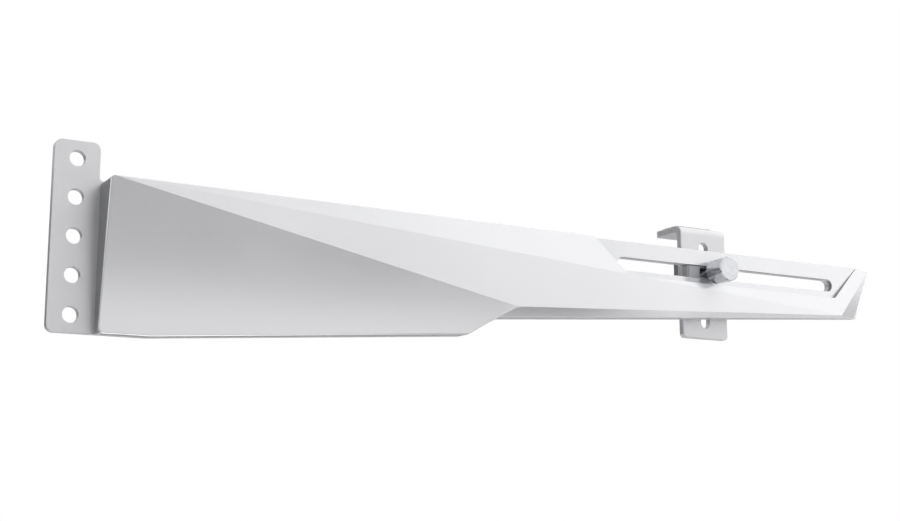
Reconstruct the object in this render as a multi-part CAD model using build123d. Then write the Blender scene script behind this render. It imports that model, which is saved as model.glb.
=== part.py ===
import os
from math import radians, tan

from build123d import *

# Graphics card support bracket, in millimetres.
# X runs along the arm, -Y is the front, +Z is up. The origin is the middle screw hole of the mounting plate, on
# the plate's back face. A depth is measured from that back face towards the front.

# Mounting plate and spine, stamped from one sheet
sheet = 2.0
plate_width = 11.9
plate_height = 50.0
plate_corner = 2.0
hole_pitch = 10.16
hole_count = 5
hole_diameter = 4.2
spine_fillet = 1.0

# Arm, seen from the front
arm_gap = 0.3
arm_length = 272.8
arm_top = 15.0
arm_corner = 1.6
heel_length = 13.75
blade_length = 107.85
bottom_rise = 3.9
step_angle = 29.7
step_rise = 9.1
keel_drop = 2.9
tip_rake = 6.3
tip_bevel = 9.3

# Depth of the front facets at their corners
depth_heel_top = 11.5
depth_heel_bottom = 5.3
depth_step = 8.1
depth_step_foot = 5.6
depth_tip_bottom = 5.1
depth_tip_back = 1.6
tip_edge = 0.9
cover_wall = 1.6
cover_edge = 0.5
cover_bevel = 0.2

# Recess and slot
floor_depth = 3.5
recess_margin = 6.35
recess_bottom = 3.5
recess_length = 114.2
recess_left_slant = 48.8
recess_right_slant = 45.3
recess_left_corner = 6.0
recess_right_corner = 1.5
slot_margin = 18.0
slot_length = 91.0
slot_height = 4.2
slot_z = 7.88

# Cover screws
screw_shank = 2.6
screw_head = 4.8
screw_length = 4.0
screw_sunk = 0.05
screw_fit = 0.05
boss_diameter = 5.4
screw_edge = 5.0
screw_start = 9.0
screw_pitch = 91.0
rail_screw_margin = 22.8
rail_screw_pitch = 62.0
screws_in_row = 2

# Clamp on the slot: block, nut, thumbscrew and washer
carriage_offset = -7.85
slide_gap = 0.1
block_gap = 0.15
block_sink = 0.45
block_window = 8.8
block_bevel = 0.6
stud_diameter = 3.0
stud_length = 12.0
stud_seat = 4.4
stud_fit = 0.05
stud_point = 0.4
thread_clearance = 0.1
knob_diameter = 8.0
knob_length = 6.9
knob_rear = 5.9
knob_bevel = 0.4
flute_count = 4
flute_turn = 18.0
flute_angle = 94.0
flute_depth = 1.2
flute_front = 0.5
washer_diameter = 7.0
washer_thickness = 0.5
washer_gap = 0.05
nut_height = 12.0
nut_thickness = 2.0
nut_corner = 1.0
tongue_length = 6.0
tongue_height = 1.2

# Support, folded from one sheet, and its pad
support_width = 18.4
support_sheet = 2.0
support_bottom = -13.4
support_bend = 0.6
support_corner = 1.5
support_edge = 0.2
shelf_top = 23.6
shelf_reach = 13.6
support_slot_width = 3.8
support_slot_bottom = -10.0
support_slot_top = 18.5
pad_margin = 1.5
pad_thickness = 0.6
pad_corner = 1.2
groove_count = 4
groove_pitch = 1.7
groove_width = 0.7
groove_depth = 0.25

# Corners of the arm's outline, as (x, z)
arm_start = plate_width / 2 + arm_gap
arm_end = arm_start + arm_length
plate_bottom = -plate_height / 2
rise = tan(radians(bottom_rise))
heel = (arm_start, plate_bottom)
keel = (arm_start + heel_length, plate_bottom)
blade_end = (arm_start + blade_length, plate_bottom + (blade_length - heel_length) * rise)
step_end = (blade_end[0] + step_rise / tan(radians(step_angle)), blade_end[1] + step_rise)
step_foot = (step_end[0], step_end[1] - keel_drop)


def rail_bottom(x):
    return step_foot[1] + (x - step_foot[0]) * rise


toe = (arm_end - tip_rake, rail_bottom(arm_end - tip_rake))
tip_front = (toe[0] - tip_bevel, rail_bottom(toe[0] - tip_bevel) + tip_edge)
rail_start = (step_end[0] - 2 * step_rise, rail_bottom(step_end[0] - 2 * step_rise))

front_limit = 2 * depth_heel_top
slot_mid = arm_end - slot_margin - slot_length / 2
carriage_x = slot_mid + carriage_offset


def face(*points):
    return make_face(Polyline(*points, close=True))


def slab(outline, start, end):
    # Outline of the front view, made solid from one depth to another
    return extrude(Plane.XZ.offset(start) * outline, end - start)


def corner(point, depth):
    return Vector(point[0], -depth, point[1])


def facet(a, b, c):
    # Plane through three corners, facing the front
    normal = (b - a).cross(c - a)
    if normal.Y > 0:
        normal = -normal
    return Plane(origin=a, z_dir=normal)


def round_corner(outline, point, radius):
    vertex = outline.vertices().sort_by_distance(Vector(point[0], point[1]))[0]
    return fillet(vertex, radius)


def at(x, z):
    # Axis that runs from the back face towards the front
    return Plane(origin=(x, 0, z), x_dir=(1, 0, 0), z_dir=(0, -1, 0))


# Outlines of the arm: the deep blade beside the plate and the slim rail that carries the slot
blade_outline = face((arm_start, arm_top), (step_end[0], arm_top), step_end, blade_end, keel, heel)
blade_outline = round_corner(blade_outline, heel, arm_corner)
rail_outline = face((rail_start[0], arm_top), (arm_end, arm_top), toe, rail_start)
arm_outline = round_corner(blade_outline + rail_outline, (arm_start, arm_top), arm_corner)

# Facets of the front, fanned out from the top corner beside the plate
heel_top_corner = corner((arm_start, arm_top), depth_heel_top)
heel_corner = corner(heel, depth_heel_bottom)
step_corner = corner(step_end, depth_step)
tip_top_corner = corner((arm_end, arm_top), floor_depth)
tip_corner = corner(tip_front, depth_tip_bottom)
toe_corner = corner(toe, depth_tip_back)
blade_facet = facet(heel_top_corner, heel_corner, step_corner)
middle_facet = facet(heel_top_corner, step_corner, tip_corner)
upper_facet = facet(heel_top_corner, tip_top_corner, tip_corner)
tip_facet = facet(tip_top_corner, tip_corner, toe_corner)
keel_facet = facet(step_corner, tip_corner, corner(step_foot, depth_step_foot))
top_normal = (upper_facet.z_dir + Vector(0, 0, 1)).normalized()
top_bevel = Plane(origin=tip_top_corner - top_normal * cover_bevel, z_dir=top_normal)


def faceted(outline, facets, inset):
    solid = slab(offset(outline, -inset, kind=Kind.INTERSECTION) if inset else outline, sheet, front_limit)
    for plane in facets:
        solid = split(solid, bisect_by=plane.offset(-inset), keep=Keep.BOTTOM)
    return solid


def arm_form(inset=0):
    # Outer form of the arm in front of the spine, or its hollow when it is set in by the wall
    shared = (blade_facet, middle_facet, upper_facet, top_bevel)
    blade = faceted(blade_outline, shared, inset)
    rail = faceted(rail_outline, shared + (tip_facet, keel_facet), inset)
    return blade + rail


def recess_outline():
    # The recess is open at the top, so its sides run on past the arm's top edge
    over = cover_wall * 2
    drop = arm_top - recess_bottom
    right = arm_end - recess_margin
    left = right - recess_length
    lean_left = tan(radians(recess_left_slant))
    lean_right = tan(radians(recess_right_slant))
    low_left = (left + drop * lean_left, recess_bottom)
    low_right = (right - drop * lean_right, recess_bottom)
    outline = face((left - over * lean_left, arm_top + over), (right + over * lean_right, arm_top + over),
                   low_right, low_left)
    outline = round_corner(outline, low_left, recess_left_corner)
    return round_corner(outline, low_right, recess_right_corner)


def long_slot():
    return Pos(slot_mid, slot_z) * SlotOverall(slot_length, slot_height)


def screw_points():
    # Two rows on the blade, then one row along the middle of the rail
    points = []
    for index in range(screws_in_row):
        along = screw_start + index * screw_pitch
        low = plate_bottom + max(0, along - heel_length) * rise
        points += [(arm_start + along, arm_top - screw_edge), (arm_start + along, low + screw_edge)]
    for index in range(screws_in_row):
        x = arm_end - rail_screw_margin - index * rail_screw_pitch
        points.append((x, (recess_bottom + rail_bottom(x)) / 2))
    return points


def screw_form(fit=0):
    # Countersunk screw along +Z from its head, or its hole when it is widened by a fit
    head = screw_head / 2 + fit
    shank = screw_shank / 2 + fit
    top = 0 if fit else screw_sunk
    profile = face((0, top), (head, top), (shank, top + head - shank), (shank, screw_length + fit),
                   (0, screw_length + fit))
    return revolve(Plane.XZ * profile, Axis.Z)


def make_mount_bracket():
    plate = fillet(Rectangle(plate_width, plate_height).vertices(), plate_corner)
    join = face((0, arm_top), (arm_start + arm_corner, arm_top), (arm_start + arm_corner, plate_bottom),
                (0, plate_bottom))
    outline = plate + join + arm_outline
    outline = round_corner(outline, (plate_width / 2, arm_top), spine_fillet)
    for index in range(hole_count):
        outline -= Pos(0, (index - (hole_count - 1) / 2) * hole_pitch) * Circle(hole_diameter / 2)
    outline -= long_slot()
    bracket = slab(outline, 0, sheet)
    for point in screw_points():
        bracket -= at(*point) * screw_form(screw_fit)
    return bracket


def rim_edges(solid):
    # Edges where a facet of the front meets a side wall
    walls = [f for f in solid.faces() if abs(f.normal_at().Y) < 0.01]
    facets = [f for f in solid.faces() if f.normal_at().Y < -0.5]
    wall_edges = [e for f in walls for e in f.edges() if e.center().Z < arm_top - cover_edge]
    return ShapeList([e for f in facets for e in f.edges() if e in wall_edges])


def make_front_cover():
    form = arm_form()
    form = fillet(rim_edges(form), cover_edge) & slab(arm_outline, sheet, front_limit)
    tray = slab(offset(recess_outline(), cover_wall), sheet, front_limit) & form
    cover = form - arm_form(cover_wall) + tray
    for point in screw_points():
        cover += slab(Pos(*point) * Circle(boss_diameter / 2), sheet, front_limit) & form
    for point in screw_points():
        cover -= at(*point) * screw_form(screw_fit)
    cover -= slab(recess_outline(), floor_depth, front_limit)
    return cover - slab(long_slot(), sheet, floor_depth)


def make_cover_screws():
    return Compound([at(*point) * screw_form() for point in screw_points()])


def make_slide_block():
    height = slot_height - 2 * block_gap
    window = stud_diameter + 2 * thread_clearance
    top = floor_depth - block_sink
    outline = Rectangle(support_width, height) - Rectangle(block_window, window)
    block = extrude(outline, top)
    ends = block.edges().filter_by(Axis.Y).group_by(Axis.Z)[-1].sort_by(Axis.X)
    return at(carriage_x, slot_z) * chamfer([ends[0], ends[-1]], block_bevel)


def make_clamp_nut():
    back = -(2 * slide_gap + support_sheet)
    flange = fillet(Rectangle(support_width, nut_height).vertices(), nut_corner)
    tongue = Rot(0, 0, 90) * SlotOverall(tongue_length, support_slot_width - 2 * slide_gap)
    nut = Pos(0, 0, back - nut_thickness) * extrude(flange, nut_thickness)
    nut += Pos(0, 0, back) * extrude(tongue, tongue_height)
    nut -= Cylinder(stud_diameter / 2 + stud_fit, 2 * stud_length)
    return at(carriage_x, slot_z) * nut


def make_support_bracket():
    front = slide_gap
    back = front + support_sheet
    profile = face((front, support_bottom), (front, shelf_top), (shelf_reach, shelf_top),
                   (shelf_reach, shelf_top - support_sheet), (back, shelf_top - support_sheet),
                   (back, support_bottom))
    profile = round_corner(profile, (front, shelf_top), support_bend + support_sheet)
    profile = round_corner(profile, (back, shelf_top - support_sheet), support_bend)
    fold = Pos(carriage_x, 0, 0) * extrude(Plane.YZ * profile, support_width / 2, both=True)
    fold = fillet(fold.edges().filter_by(Axis.Y).group_by(Axis.Z)[0], support_corner)
    fold = fillet(fold.edges().filter_by(Axis.Z).group_by(Axis.Y)[-1], support_corner)
    fold = chamfer(fold.faces().sort_by(Axis.Y)[0].edges(), support_edge)
    length = support_slot_top - support_slot_bottom
    slot = Rot(0, 0, 90) * SlotOverall(length, support_slot_width)
    slot = Pos(carriage_x, support_slot_bottom + length / 2) * slot
    return fold - slab(slot, -back - support_sheet, support_sheet)


def make_support_pad():
    start = slide_gap + support_sheet + support_bend + pad_margin
    length = shelf_reach - pad_margin - start
    outline = fillet(Rectangle(support_width - 2 * pad_margin, length).vertices(), pad_corner)
    pad = extrude(outline, pad_thickness)
    for index in range(groove_count):
        groove = Box(support_width, groove_width, 2 * groove_depth)
        pad -= Pos(0, (index - (groove_count - 1) / 2) * groove_pitch, pad_thickness) * groove
    return Pos(carriage_x, start + length / 2, shelf_top) * pad


def make_thumbscrew_knob():
    radius = knob_diameter / 2
    knob = Pos(0, 0, knob_rear) * extrude(Circle(radius), knob_length)
    knob = chamfer(knob.edges().group_by(Axis.Z)[-1], knob_bevel)
    lean = (flute_depth - flute_front) / knob_length
    flank = radius * tan(radians(flute_angle / 2))
    notch = face((0, 0), (radius, -flank), (radius, flank))
    root = Plane(origin=(radius - flute_depth, 0, knob_rear), x_dir=(1, 0, -lean), z_dir=(lean, 0, 1))
    flute = extrude(root * notch, 2 * knob_length, both=True)
    for index in range(flute_count):
        knob -= Rot(0, 0, flute_turn + index * 360 / flute_count) * flute
    knob -= Pos(0, 0, knob_rear) * extrude(Circle(stud_diameter / 2 + stud_fit), stud_seat)
    return at(carriage_x, slot_z) * knob


def make_thumbscrew_stud():
    stud = extrude(Circle(stud_diameter / 2), stud_seat + stud_length)
    stud = chamfer(stud.edges().group_by(Axis.Z)[0], stud_point)
    return at(carriage_x, slot_z) * Pos(0, 0, knob_rear - stud_length) * stud


def make_clamp_washer():
    ring = Circle(washer_diameter / 2) - Circle(stud_diameter / 2 + thread_clearance)
    rear = knob_rear - washer_gap - washer_thickness
    return at(carriage_x, slot_z) * Pos(0, 0, rear) * extrude(ring, washer_thickness)


nodes = {
    "mount_bracket": make_mount_bracket(),
    "front_cover": make_front_cover(),
    "cover_screws": make_cover_screws(),
    "slide_block": make_slide_block(),
    "clamp_nut": make_clamp_nut(),
    "support_bracket": make_support_bracket(),
    "support_pad": make_support_pad(),
    "thumbscrew_knob": make_thumbscrew_knob(),
    "thumbscrew_stud": make_thumbscrew_stud(),
    "clamp_washer": make_clamp_washer(),
}

os.makedirs("parts", exist_ok=True)
for name, solid in nodes.items():
    export_step(solid, f"parts/{name}.step")
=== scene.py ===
import math

import bpy
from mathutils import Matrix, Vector


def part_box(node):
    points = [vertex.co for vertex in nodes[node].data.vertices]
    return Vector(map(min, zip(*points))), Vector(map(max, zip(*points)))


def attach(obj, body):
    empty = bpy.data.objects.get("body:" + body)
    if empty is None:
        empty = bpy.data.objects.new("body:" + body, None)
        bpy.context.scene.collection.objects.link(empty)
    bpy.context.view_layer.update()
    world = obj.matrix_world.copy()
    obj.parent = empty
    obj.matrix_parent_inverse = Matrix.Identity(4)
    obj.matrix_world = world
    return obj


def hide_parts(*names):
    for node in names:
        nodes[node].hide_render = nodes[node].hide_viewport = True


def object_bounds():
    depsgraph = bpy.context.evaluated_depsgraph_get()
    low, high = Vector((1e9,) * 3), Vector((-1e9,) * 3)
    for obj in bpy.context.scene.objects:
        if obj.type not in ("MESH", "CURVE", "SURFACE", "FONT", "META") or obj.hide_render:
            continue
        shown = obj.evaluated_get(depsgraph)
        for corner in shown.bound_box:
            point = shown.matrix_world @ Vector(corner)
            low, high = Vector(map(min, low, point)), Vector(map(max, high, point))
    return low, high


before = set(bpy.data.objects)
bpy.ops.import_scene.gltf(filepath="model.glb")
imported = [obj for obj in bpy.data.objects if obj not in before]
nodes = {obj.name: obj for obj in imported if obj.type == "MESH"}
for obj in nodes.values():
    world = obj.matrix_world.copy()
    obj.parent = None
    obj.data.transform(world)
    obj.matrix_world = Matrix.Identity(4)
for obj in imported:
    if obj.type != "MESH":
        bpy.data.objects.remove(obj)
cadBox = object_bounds()
print("frame loaded:", len(nodes), "nodes")

mm = 0.001
smoothAngle = math.radians(30)     # edges that turn by less are shaded smooth
wavePeriod = 2 * math.pi / 20      # the wave node's own period at a scale of one
colourA, colourB, colourOut = 6, 7, 2     # the Mix node's colour sockets, whose names its other kinds share


# Materials

def hexColour(code):
    # sRGB hex to the linear colour that Blender's sockets take
    parts = [int(code[i:i + 2], 16) / 255 for i in (1, 3, 5)]
    linear = [p / 12.92 if p <= 0.04045 else ((p + 0.055) / 1.055) ** 2.4 for p in parts]
    return (*linear, 1.0)


white = hexColour("#ffffff")
black = hexColour("#000000")


def addNode(tree, kind, settings=None, links=None):
    node = tree.nodes.new(kind)
    for key, value in (settings or {}).items():
        if isinstance(key, int) or key in node.inputs:
            node.inputs[key].default_value = value
        else:
            setattr(node, key, value)
    for key, socket in (links or {}).items():
        tree.links.new(socket, node.inputs[key])
    return node


def startMaterial(name, shader):
    material = bpy.data.materials.new(name)
    material.use_nodes = True
    tree = material.node_tree
    tree.nodes.clear()
    surface = addNode(tree, "ShaderNodeBsdfPrincipled", shader)
    addNode(tree, "ShaderNodeOutputMaterial", links={"Surface": surface.outputs["BSDF"]})
    place = addNode(tree, "ShaderNodeTexCoord")
    return material, tree, surface, place.outputs["Object"]


def addNoise(tree, place, size, detail):
    # Noise whose blotches are about this size in metres
    settings = {"Scale": 1 / size, "Detail": detail}
    return addNode(tree, "ShaderNodeTexNoise", settings, {"Vector": place}).outputs["Fac"]


def addTint(tree, spec, pattern):
    settings = {"data_type": "RGBA", colourA: hexColour(spec["dark"]), colourB: hexColour(spec["light"])}
    return addNode(tree, "ShaderNodeMix", settings, {"Factor": pattern}).outputs[colourOut]


def addGloss(tree, spec, pattern, top=1.0):
    settings = {"From Max": top, "To Min": spec["smooth"], "To Max": spec["rough"]}
    return addNode(tree, "ShaderNodeMapRange", settings, {"Value": pattern}).outputs["Result"]


def addBump(tree, pattern, height, under=None):
    links = {"Height": pattern}
    if under is not None:
        links["Normal"] = under
    return addNode(tree, "ShaderNodeBump", {"Distance": height, "Strength": 1.0}, links).outputs["Normal"]


def linkSurface(tree, surface, tint, gloss, normal):
    for key, socket in (("Base Color", tint), ("Roughness", gloss), ("Normal", normal)):
        tree.links.new(socket, surface.inputs[key])


powderCoat = {
    "light": "#e2e2e4", "dark": "#dadadd",
    "peel": 0.9 * mm, "peelHeight": 0.006 * mm, "peelDetail": 1.5,   # orange peel of a cured powder coat
    "cloud": 22 * mm, "cloudDetail": 2.0,
    "smooth": 0.25, "rough": 0.33,
    "ior": 1.5,
    "pearl": 0.3,     # share of mica flakes in the coat
    "edge": 0.25 * mm, "edgeSamples": 4,     # the coat rounds off the stamped edges
}


def makePowderCoat(spec):
    # Pearl white powder coat on steel: a soft metallic sheen broken up by fine orange peel
    shader = {"IOR": spec["ior"], "Metallic": spec["pearl"]}
    material, tree, surface, place = startMaterial("powderCoatedSteel", shader)
    cloud = addNoise(tree, place, spec["cloud"], spec["cloudDetail"])
    peel = addNoise(tree, place, spec["peel"], spec["peelDetail"])
    edge = addNode(tree, "ShaderNodeBevel", {"samples": spec["edgeSamples"], "Radius": spec["edge"]})
    bump = addBump(tree, peel, spec["peelHeight"], edge.outputs["Normal"])
    linkSurface(tree, surface, addTint(tree, spec, cloud), addGloss(tree, spec, cloud), bump)
    return material


satinCover = {
    "light": "#eeeef0", "dark": "#e7e7ea",
    "grain": 0.45 * mm, "grainHeight": 0.006 * mm,   # mould grain, drawn coarser so that it shows
    "cloud": 35 * mm, "cloudDetail": 2.0,
    "smooth": 0.12, "rough": 0.18,
    "ior": 1.53,
    "pearl": 0.5,
    "sideShade": "#929396", "sideShadeRough": 0.45,     # painted shade on the moulding's side walls: a darker grey, duller and without pearl
    "front": (0.1, 0.4), "level": (0.8, 0.95),     # a face takes the painted side shade at the first share, and is lacquered at the second
}


def addSideShadeMask(tree, spec):
    # Mask for the painted shade on the side walls: full lacquer at the front, on top and underneath, and none
    # on the side walls, which take the darker painted-shade grey instead
    geometry = addNode(tree, "ShaderNodeNewGeometry")
    spaces = {"vector_type": "NORMAL", "convert_from": "WORLD", "convert_to": "OBJECT"}
    turned = addNode(tree, "ShaderNodeVectorTransform", spaces, {"Vector": geometry.outputs["Normal"]})
    facing = addNode(tree, "ShaderNodeSeparateXYZ", links={"Vector": turned.outputs["Vector"]})
    upright = addNode(tree, "ShaderNodeMath", {"operation": "ABSOLUTE"}, {0: facing.outputs["Z"]})
    least, full = spec["front"]
    front = addNode(tree, "ShaderNodeMapRange", {"From Min": -least, "From Max": -full},
                    {"Value": facing.outputs["Y"]})
    least, full = spec["level"]
    level = addNode(tree, "ShaderNodeMapRange", {"From Min": least, "From Max": full},
                    {"Value": upright.outputs["Value"]})
    either = addNode(tree, "ShaderNodeMath", {"operation": "MAXIMUM"},
                     {0: front.outputs["Result"], 1: level.outputs["Result"]})
    return either.outputs["Value"]


def makeSatinCover(spec):
    # Pearl white lacquer on an ABS moulding: satin, with a very fine grain and a faint unevenness of gloss
    material, tree, surface, place = startMaterial("pearlLacqueredAbs", {"IOR": spec["ior"]})
    cloud = addNoise(tree, place, spec["cloud"], spec["cloudDetail"])
    grain = addNode(tree, "ShaderNodeTexVoronoi", {"Scale": 1 / spec["grain"], "feature": "SMOOTH_F1"},
                    {"Vector": place})
    unshadedShare = addSideShadeMask(tree, spec)
    # Painted shade: the side walls take the darker grey, a duller gloss and no pearl
    tint = addNode(tree, "ShaderNodeMix", {"data_type": "RGBA", colourA: hexColour(spec["sideShade"])},
                   {"Factor": unshadedShare, colourB: addTint(tree, spec, cloud)})
    gloss = addNode(tree, "ShaderNodeMix", {"A": spec["sideShadeRough"]},
                    {"Factor": unshadedShare, "B": addGloss(tree, spec, cloud)})
    pearl = addNode(tree, "ShaderNodeMath", {"operation": "MULTIPLY", 1: spec["pearl"]}, {0: unshadedShare})
    tree.links.new(pearl.outputs["Value"], surface.inputs["Metallic"])
    bump = addBump(tree, grain.outputs["Distance"], spec["grainHeight"])
    linkSurface(tree, surface, tint.outputs[colourOut], gloss.outputs["Result"], bump)
    return material


knobLow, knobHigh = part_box("thumbscrew_knob")
knobAxis = ((knobLow[0] + knobHigh[0]) / 2, (knobLow[2] + knobHigh[2]) / 2)
turnedKnob = {
    "light": "#e6e7ea", "dark": "#c2c4c8",
    "ring": 0.22 * mm, "ringHeight": 0.002 * mm, "wobble": 0.4,   # feed marks of the turning tool
    "stain": 3 * mm, "stainDetail": 3.0,
    "smooth": 0.17, "rough": 0.26,
    "spun": 0.85,     # how far the rings draw a highlight out
}


def makeTurnedAluminium(spec):
    # Turned aluminium: bright, with the fine rings that a lathe leaves on the face and round the side
    shader = {"Metallic": 1.0, "Anisotropic": spec["spun"]}
    material, tree, surface, place = startMaterial("turnedAluminium", shader)
    around = addNode(tree, "ShaderNodeTangent", {"direction_type": "RADIAL", "axis": "Y"})
    tree.links.new(around.outputs["Tangent"], surface.inputs["Tangent"])
    toAxis = (-knobAxis[0], 0, -knobAxis[1])
    centred = addNode(tree, "ShaderNodeMapping", {"Location": toAxis}, {"Vector": place})
    waves = []
    for kind in ("rings", "bands"):
        settings = {"wave_type": kind.upper(), kind + "_direction": "Y", "Scale": wavePeriod / spec["ring"],
                    "Distortion": spec["wobble"]}
        wave = addNode(tree, "ShaderNodeTexWave", settings, {"Vector": centred.outputs["Vector"]})
        waves.append(wave.outputs["Fac"])
    marks = addNode(tree, "ShaderNodeMath", {"operation": "ADD"}, {0: waves[0], 1: waves[1]}).outputs["Value"]
    stain = addNoise(tree, place, spec["stain"], spec["stainDetail"])
    gloss = addGloss(tree, spec, marks, top=len(waves))
    linkSurface(tree, surface, addTint(tree, spec, stain), gloss, addBump(tree, marks, spec["ringHeight"]))
    return material


zincPlate = {
    "light": "#c6c9cd", "dark": "#9ea1a6",
    "spangle": 1.2 * mm, "spangleDetail": 3.0,
    "grain": 0.25 * mm, "grainHeight": 0.003 * mm, "grainDetail": 1.0,
    "smooth": 0.22, "rough": 0.38,
}


def makeZincPlate(spec):
    # Bright zinc plate on small hardware: bluish silver with a slight cloudiness
    material, tree, surface, place = startMaterial("zincPlatedSteel", {"Metallic": 1.0})
    spangle = addNoise(tree, place, spec["spangle"], spec["spangleDetail"])
    grain = addNoise(tree, place, spec["grain"], spec["grainDetail"])
    bump = addBump(tree, grain, spec["grainHeight"])
    linkSurface(tree, surface, addTint(tree, spec, spangle), addGloss(tree, spec, spangle), bump)
    return material


brushedNut = {
    "light": "#a9abae", "dark": "#7f8286",
    "lineWidth": 0.18 * mm, "lineLength": 9 * mm, "lineHeight": 0.004 * mm, "lineDetail": 3.0,
    "smooth": 0.28, "rough": 0.45,
}


def makeBrushedSteel(spec):
    # Plain steel, linished along its length
    material, tree, surface, place = startMaterial("linishedSteel", {"Metallic": 1.0})
    stretch = (1 / spec["lineLength"], 1 / spec["lineWidth"], 1 / spec["lineWidth"])
    along = addNode(tree, "ShaderNodeMapping", {"Scale": stretch}, {"Vector": place})
    lines = addNoise(tree, along.outputs["Vector"], 1.0, spec["lineDetail"])
    bump = addBump(tree, lines, spec["lineHeight"])
    linkSurface(tree, surface, addTint(tree, spec, lines), addGloss(tree, spec, lines), bump)
    return material


acetalBlock = {   # Moulded grey acetal: slightly waxy and matt, with a fine grain
    "light": "#b4b5b8", "dark": "#a6a7ab",
    "grain": 0.5 * mm, "grainHeight": 0.01 * mm, "grainDetail": 2.0,
    "smooth": 0.42, "rough": 0.55,
    "ior": 1.48,
}
padRubber = {   # Matt black rubber: a fine dry grain that takes most of the shine away
    "light": "#2b2c2e", "dark": "#1b1c1e",
    "grain": 0.35 * mm, "grainHeight": 0.02 * mm, "grainDetail": 3.0,
    "smooth": 0.62, "rough": 0.82,
    "ior": 1.52,
}


def makeGrained(name, spec):
    material, tree, surface, place = startMaterial(name, {"IOR": spec["ior"]})
    grain = addNoise(tree, place, spec["grain"], spec["grainDetail"])
    bump = addBump(tree, grain, spec["grainHeight"])
    linkSurface(tree, surface, addTint(tree, spec, grain), addGloss(tree, spec, grain), bump)
    return material


coatedSteel = makePowderCoat(powderCoat)
coverPlastic = makeSatinCover(satinCover)
knobAluminium = makeTurnedAluminium(turnedKnob)
platedSteel = makeZincPlate(zincPlate)
nutSteel = makeBrushedSteel(brushedNut)
blockPlastic = makeGrained("mouldedAcetal", acetalBlock)
rubber = makeGrained("mattRubber", padRubber)

nodeFinish = {
    "mount_bracket": coatedSteel,
    "front_cover": coverPlastic,
    "cover_screws": platedSteel,
    "slide_block": blockPlastic,
    "clamp_nut": nutSteel,
    "support_bracket": coatedSteel,
    "support_pad": rubber,
    "thumbscrew_knob": knobAluminium,
    "thumbscrew_stud": platedSteel,
    "clamp_washer": platedSteel,
}
for nodeName, material in nodeFinish.items():
    slots = nodes[nodeName].data.materials
    slots.clear()
    slots.append(material)
print("finishes set:", len(nodeFinish))


# New pieces

def openPiece(name):
    piece = bpy.context.object
    piece.name = name
    bpy.ops.object.transform_apply(location=True, rotation=True, scale=True)
    bpy.ops.object.mode_set(mode="EDIT")
    bpy.ops.mesh.select_all(action="SELECT")
    return piece


def closePiece():
    bpy.ops.mesh.select_all(action="SELECT")
    bpy.ops.mesh.normals_make_consistent(inside=False)
    bpy.ops.object.mode_set(mode="OBJECT")


def turnPiece(name, centre, rings, sides):
    # Turned form along Y: a disc drawn on from ring to ring, each ring a place on Y and a radius
    bpy.ops.object.select_all(action="DESELECT")
    y, radius = rings[0]
    bpy.ops.mesh.primitive_circle_add(vertices=sides, radius=radius, fill_type="NGON",
                                      location=(centre[0], y, centre[1]), rotation=(math.pi / 2, 0, 0))
    piece = openPiece(name)
    for nextY, nextRadius in rings[1:]:
        bpy.ops.mesh.extrude_region_move(TRANSFORM_OT_translate={"value": (0, nextY - y, 0)})
        ratio = nextRadius / radius
        bpy.ops.transform.resize(value=(ratio, 1, ratio), center_override=(centre[0], nextY, centre[1]))
        y, radius = nextY, nextRadius
    closePiece()
    return piece


def pickPiece(piece, others=()):
    bpy.ops.object.select_all(action="DESELECT")
    for other in others:
        other.select_set(True)
    piece.select_set(True)
    bpy.context.view_layer.objects.active = piece


def joinPieces(first, others):
    pickPiece(first, others)
    bpy.ops.object.join()
    return first


def finishPiece(piece, material, body, node):
    pickPiece(piece)
    bpy.ops.object.shade_smooth_by_angle(angle=smoothAngle)
    piece.data.materials.clear()
    piece.data.materials.append(material)
    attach(piece, body)
    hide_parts(node)


studThread = {
    "pitch": 0.5 * mm,     # coarse metric thread
    "steps": 24,
    "rootShare": 0.2,      # the core's radius falls short of the crests by this share
    "point": 0.4 * mm,
    "sides": 48,
}


def makeStud(spec):
    low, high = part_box("thumbscrew_stud")
    radius = (high[0] - low[0]) / 2
    centre = ((low[0] + high[0]) / 2, (low[2] + high[2]) / 2)
    root = radius * (1 - spec["rootShare"])
    shoulder = knobHigh[1]     # the thread starts where the stud leaves the knob
    rings = [(high[1], root - spec["point"]), (high[1] - spec["point"], root), (shoulder, root),
             (shoulder, radius), (low[1], radius)]
    core = turnPiece("threadedStud", centre, rings, spec["sides"])

    # The ridge is a triangle as tall as a full thread, wound along Y about the origin and then put in place
    crest = spec["pitch"] / math.sqrt(3)
    turns = int((high[1] - spec["point"] - shoulder) / spec["pitch"]) - 1
    bpy.ops.object.select_all(action="DESELECT")
    bpy.ops.mesh.primitive_circle_add(vertices=3, radius=crest, location=(radius - crest, 0, 0),
                                      rotation=(0, 0, -math.pi / 2))
    ridge = openPiece("threadRidge")
    bpy.ops.object.mode_set(mode="OBJECT")
    winding = ridge.modifiers.new("winding", "SCREW")
    winding.axis = "Y"
    winding.screw_offset = spec["pitch"]
    winding.iterations = turns
    winding.steps = spec["steps"]
    winding.render_steps = spec["steps"]
    bpy.ops.object.modifier_apply(modifier="winding")
    ridge.location = (centre[0], shoulder + spec["pitch"], centre[1])
    openPiece("threadRidge")
    bpy.ops.mesh.fill_holes(sides=0)
    closePiece()
    stud = joinPieces(core, [ridge])
    finishPiece(stud, platedSteel, "thumbscrew", "thumbscrew_stud")


crossScrews = {
    "rim": 0.1 * mm,           # rounding of the head's rim
    "crossLength": 2.7 * mm, "crossWidth": 0.6 * mm, "crossDepth": 0.9 * mm,
    "turn": 37,                # degrees from each screw to the next, as they happen to stop
    "sides": 48,
    "apart": 6 * mm,           # corners nearer than this belong to one head
    "flat": 0.01 * mm,         # corners this near to a plane lie in it
}


def cornersAcross(node, y, flat):
    # The node's corners that lie in one plane across Y, as (x, z)
    return [Vector((v.co.x, v.co.z)) for v in nodes[node].data.vertices if abs(v.co.y - y) < flat]


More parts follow.
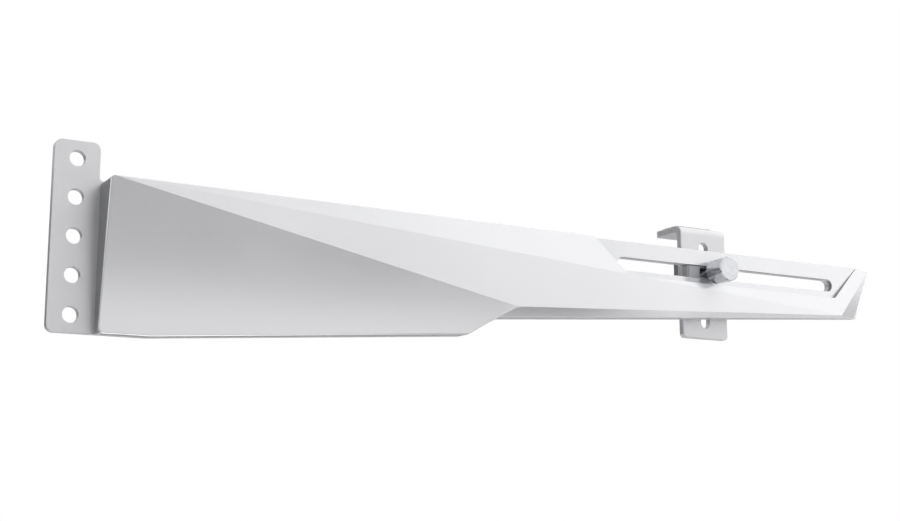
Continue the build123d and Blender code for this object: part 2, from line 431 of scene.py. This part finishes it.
def headCentres(points, apart):
    heads = []
    for point in points:
        near = [head for head in heads if (head[0] - point).length < apart]
        if near:
            near[0].append(point)
        else:
            heads.append([point])
    return [sum(head, Vector((0, 0))) / len(head) for head in heads]


def widestReach(points, centres):
    # The farthest that a corner lies from its own screw's axis
    return max(min((point - centre).length for centre in centres) for point in points)


def makeScrew(centre, turn, rings, spec):
    screw = turnPiece("coverScrew", centre, rings, spec["sides"])
    barSize = (spec["crossLength"], 2 * spec["crossDepth"], spec["crossWidth"])
    for quarter in (0, 90):
        bpy.ops.object.select_all(action="DESELECT")
        bpy.ops.mesh.primitive_cube_add(size=1, location=(centre[0], rings[0][0], centre[1]),
                                        rotation=(0, math.radians(turn + quarter), 0), scale=barSize)
        bar = bpy.context.object
        cut = screw.modifiers.new("cross", "BOOLEAN")
        cut.operation = "DIFFERENCE"
        cut.solver = "EXACT"
        cut.object = bar
        bpy.context.view_layer.objects.active = screw
        bpy.ops.object.modifier_apply(modifier="cross")
        bpy.data.objects.remove(bar)
    return screw


def makeScrews(spec):
    low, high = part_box("cover_screws")
    rim = cornersAcross("cover_screws", high[1], spec["flat"])
    centres = headCentres(rim, spec["apart"])
    head = widestReach(rim, centres)
    shank = widestReach(cornersAcross("cover_screws", low[1], spec["flat"]), centres)
    rings = [(high[1], head - 2 * spec["rim"]), (high[1] - spec["rim"], head - spec["rim"]),
             (high[1] - head + shank, shank), (low[1], shank)]
    screws = [makeScrew(centre, index * spec["turn"], rings, spec) for index, centre in enumerate(centres)]
    screws = joinPieces(screws[0], screws[1:])
    screws.name = "crossScrews"
    finishPiece(screws, platedSteel, "arm", "cover_screws")


makeStud(studThread)
makeScrews(crossScrews)
print("new pieces made")


# Camera, floor and light

photoView = {
    "place": (-93.31 * mm, -359.22 * mm, -71.26 * mm),
    "turn": 29.70,     # degrees to the right of +Y
    "tilt": 10.30,     # degrees upwards
    "lens": 56.99,
    "sensor": 36.0,
    "near": 10 * mm,
}


def addCamera(spec):
    data = bpy.data.cameras.new("photoCamera")
    data.sensor_fit = "HORIZONTAL"
    data.sensor_width = spec["sensor"]
    data.lens = spec["lens"]
    data.clip_start = spec["near"]
    camera = bpy.data.objects.new("photoCamera", data)
    camera.location = spec["place"]
    camera.rotation_euler = (math.radians(90 + spec["tilt"]), 0, math.radians(-spec["turn"]))
    bpy.context.scene.collection.objects.link(camera)
    bpy.context.scene.camera = camera


paleFloor = {
    "height": cadBox[0][2] - 75 * mm,     # below the part's lowest point
    "size": 6.0,
    "rough": 0.7,
    "glow": 0.83, "shade": "#666666",     # as the camera sees it: even and pale, but still with a shadow
    "bounce": "#e4e4e4",                  # as the part sees it, so that its underside stays in shade
}


def addFloor(spec):
    bpy.ops.object.select_all(action="DESELECT")
    bpy.ops.mesh.primitive_plane_add(size=spec["size"], location=(0, 0, spec["height"]))
    floor = bpy.context.object
    floor.name = "paleFloor"
    shader = {"Roughness": spec["rough"], "Specular IOR Level": 0.0, "Emission Color": white}
    material, tree, surface, place = startMaterial("palePaper", shader)
    path = addNode(tree, "ShaderNodeLightPath")
    colours = {"data_type": "RGBA", colourA: hexColour(spec["bounce"]), colourB: hexColour(spec["shade"])}
    tint = addNode(tree, "ShaderNodeMix", colours, {"Factor": path.outputs["Is Camera Ray"]})
    glow = addNode(tree, "ShaderNodeMath", {"operation": "MULTIPLY", 1: spec["glow"]},
                   {0: path.outputs["Is Camera Ray"]})
    tree.links.new(tint.outputs[colourOut], surface.inputs["Base Color"])
    tree.links.new(glow.outputs["Value"], surface.inputs["Emission Strength"])
    floor.data.materials.append(material)


lowCloth = paleFloor["height"] + 1 * mm
clothFade = (0.1, 0.5)     # where its left brightness turns into its right one, in widths from its middle
studioCards = {   # cloths seen in reflections only: middle, size, tilt and turn, brightness left and right
    "leftFlag": ((-0.47, 0.83, 0.11), (0.9, 0.32), (90, 52), (0.01, 0.01)),
    "rearFlag": ((0.3, 1.0, paleFloor["height"] + 5 * mm), (2.4, 1.4), (0, 0), (0.25, 0.25)),
    "keelFlag": ((0.215, -0.046, lowCloth), (0.14, 0.03), (0, 0), (0.01, 1.2)),
    "lowCard": ((0.2, -0.46, lowCloth), (1.2, 0.14), (0, 0), (1.15, 1.15)),
    "underCard": ((0.0625, 0.0, lowCloth), (0.155, 0.06), (0, 0), (2.2, 0.8)),
    "frontFlag": ((0.1, -0.6, -0.036), (2.2, 0.112), (-90, 0), (0.28, 0.28)),
}


def makeCloth(width, levels):
    # Studio cloth: it has only its own brightness, and takes no light or shadow
    shader = {"Base Color": black, "Specular IOR Level": 0.0, "Emission Color": white}
    material, tree, surface, place = startMaterial("studioCloth", shader)
    across = addNode(tree, "ShaderNodeSeparateXYZ", links={"Vector": place})
    settings = {"From Min": clothFade[0] * width, "From Max": clothFade[1] * width, "To Min": levels[0],
                "To Max": levels[1]}
    glow = addNode(tree, "ShaderNodeMapRange", settings, {"Value": across.outputs["X"]})
    tree.links.new(glow.outputs["Result"], surface.inputs["Emission Strength"])
    return material


def addCards(spec):
    for name, (place, size, (tilt, turn), levels) in spec.items():
        bpy.ops.object.select_all(action="DESELECT")
        bpy.ops.mesh.primitive_plane_add(size=1, location=place,
                                         rotation=(math.radians(tilt), 0, math.radians(turn)))
        card = bpy.context.object
        card.name = name
        card.scale = (size[0], size[1], 1)
        bpy.ops.object.transform_apply(location=False, rotation=False, scale=True)
        card.visible_camera = False
        card.visible_diffuse = False
        card.visible_shadow = False
        card.data.materials.append(makeCloth(size[0], levels))


softLamps = {
    "target": (150 * mm, 0, 0),
    "lamps": {   # place in metres, size in metres, watts, shows in reflections
        "keyAbove": ((0.8, -0.5, 1.05), 1.7, 18.0, False),
        "leftStrip": ((-0.9, -0.26, 0.14), 0.25, 0.4, True),
        "frontFill": ((0.6, -1.2, 0.4), 0.8, 2.8, False),
        "backFill": ((0.5, 1.1, 0.35), 0.6, 7.0, False),
    },
}


def addLamps(spec):
    for name, (place, size, power, shows) in spec["lamps"].items():
        data = bpy.data.lights.new(name, "AREA")
        data.shape = "DISK"
        data.size = size
        data.energy = power
        lamp = bpy.data.objects.new(name, data)
        lamp.location = place
        lamp.visible_glossy = shows
        lamp.visible_camera = False
        lamp.rotation_euler = (Vector(spec["target"]) - Vector(place)).to_track_quat("-Z", "Y").to_euler()
        bpy.context.scene.collection.objects.link(lamp)


lightTent = {
    "ambient": 0.14,
    "slope": (2.0, 0.0, 1.2),     # in reflections the tent is brighter to the right and above
    "reach": (1.178, 1.608), "levels": (0.9, 1.33),
}


def addTent(spec):
    world = bpy.data.worlds.new("studio")
    world.use_nodes = True
    tree = world.node_tree
    tree.nodes.clear()
    path = addNode(tree, "ShaderNodeLightPath")
    seen = addNode(tree, "ShaderNodeMath", {"operation": "MAXIMUM"},
                   {0: path.outputs["Is Camera Ray"], 1: path.outputs["Is Transmission Ray"]})
    plain = addNode(tree, "ShaderNodeMapRange", {"To Min": spec["ambient"], "To Max": 1.0},
                    {"Value": seen.outputs["Value"]})
    place = addNode(tree, "ShaderNodeTexCoord")
    heading = addNode(tree, "ShaderNodeVectorMath", {"operation": "DOT_PRODUCT", 1: spec["slope"]},
                      {0: place.outputs["Generated"]})
    low, high = spec["reach"]
    dim, bright = spec["levels"]
    tent = addNode(tree, "ShaderNodeMapRange", {"From Min": low, "From Max": high, "To Min": dim,
                   "To Max": bright}, {"Value": heading.outputs["Value"]})
    level = addNode(tree, "ShaderNodeMix", links={"Factor": path.outputs["Is Glossy Ray"],
                    "A": plain.outputs["Result"], "B": tent.outputs["Result"]})
    sky = addNode(tree, "ShaderNodeBackground", {"Color": white}, {"Strength": level.outputs["Result"]})
    addNode(tree, "ShaderNodeOutputWorld", links={"Surface": sky.outputs["Background"]})
    bpy.context.scene.world = world


addCamera(photoView)
addFloor(paleFloor)
addCards(studioCards)
addLamps(softLamps)
addTent(lightTent)
bpy.context.scene.view_settings.view_transform = "Standard"
print("camera, floor and light set")
